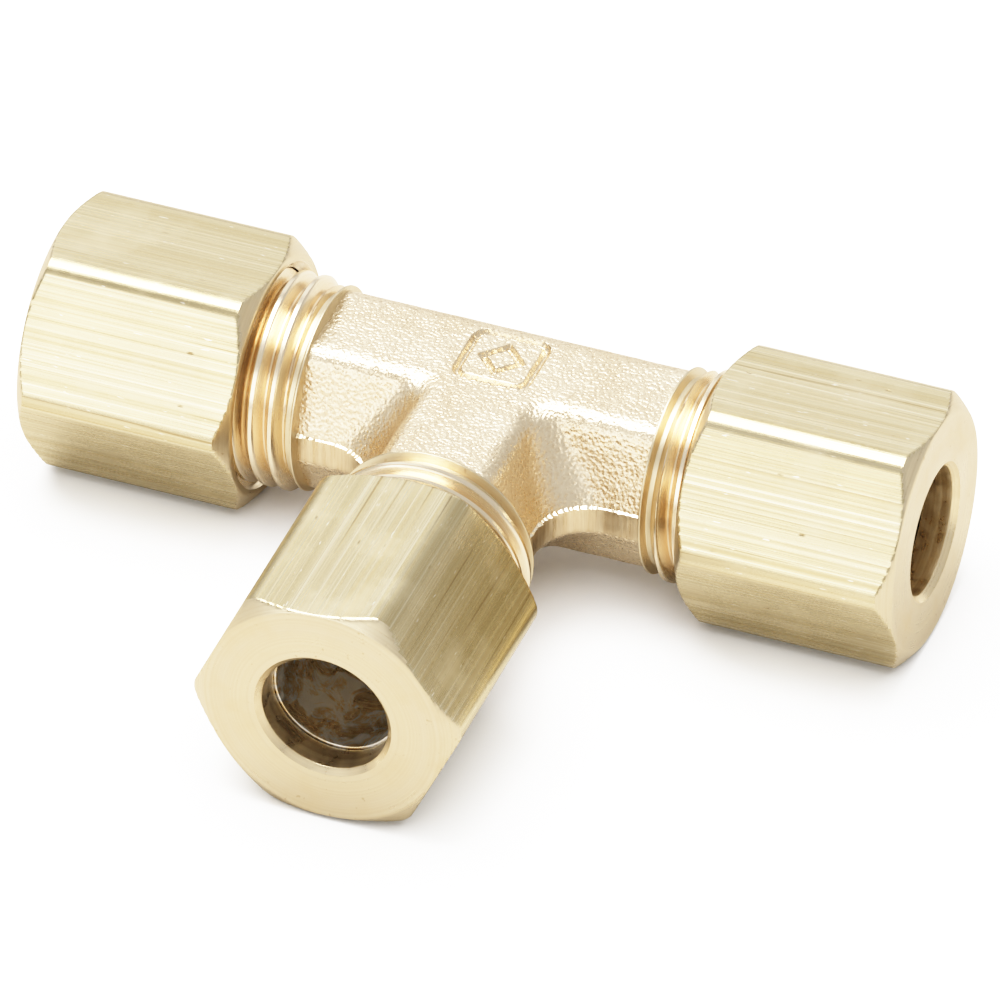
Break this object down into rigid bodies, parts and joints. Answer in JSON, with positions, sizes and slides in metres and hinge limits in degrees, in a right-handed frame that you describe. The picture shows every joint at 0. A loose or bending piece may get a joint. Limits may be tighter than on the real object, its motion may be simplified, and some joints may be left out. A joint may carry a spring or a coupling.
{
  "type": "compression fitting",
  "caption": "Brass union tee that joins tubes by compression: a forged tee body with threaded ports, long hexagon nuts and captive tapered sleeves.",
  "frame": {"origin": "where the axes of the run and the branch meet, inside the tee body", "axes": "+X along the run to the right port, -Y along the branch port, +Z square to the plane of the three ports, up from the lower flat of the forging to the upper flat"},
  "size_m": [0.0472, 0.0316, 0.0132],
  "materials": {
    "forged_brass": "satin, shot-blasted forging with machined threads",
    "drawn_brass": "bright drawn bar with fine lengthwise lines, turned ends",
    "sleeve_brass": "turned"
  },
  "bodies": {
    "tee_body": {"tee_body": "forged_brass"},
    "right_sleeve": {"right_sleeve": "sleeve_brass"},
    "right_nut": {"right_nut": "drawn_brass"},
    "left_sleeve": {"left_sleeve": "sleeve_brass"},
    "left_nut": {"left_nut": "drawn_brass"},
    "branch_sleeve": {"branch_sleeve": "sleeve_brass"},
    "branch_nut": {"branch_nut": "drawn_brass"}
  },
  "joints": [
    {"name": "right_sleeve_travel", "type": "slide", "parent": "tee_body", "child": "right_sleeve", "axis": [1, 0, 0], "range_m": [-0.0005, 0.00599]},
    {"name": "right_nut_turn", "type": "hinge", "parent": "right_sleeve", "child": "right_nut", "pos_m": [0.01745, 0, 0], "axis": [1, 0, 0], "range_deg": [-163, 2030]},
    {"name": "left_sleeve_travel", "type": "slide", "parent": "tee_body", "child": "left_sleeve", "axis": [-1, 0, 0], "range_m": [-0.00117, 0.00531]},
    {"name": "left_nut_turn", "type": "hinge", "parent": "left_sleeve", "child": "left_nut", "pos_m": [-0.01812, 0, 0], "axis": [-1, 0, 0], "range_deg": [-391, 1800]},
    {"name": "branch_sleeve_travel", "type": "slide", "parent": "tee_body", "child": "branch_sleeve", "axis": [0, -1, 0], "range_m": [-0.0017, 0.00478]},
    {"name": "branch_nut_turn", "type": "hinge", "parent": "branch_sleeve", "child": "branch_nut", "pos_m": [0, -0.01866, 0], "axis": [0, -1, 0], "range_deg": [-571, 1620]}
  ],
  "couplings": [
    {"joint": "right_sleeve_travel", "follows": "right_nut_turn", "m_per_rad": 0.00016844},
    {"joint": "left_sleeve_travel", "follows": "left_nut_turn", "m_per_rad": 0.00016844},
    {"joint": "branch_sleeve_travel", "follows": "branch_nut_turn", "m_per_rad": 0.00016844}
  ]
}
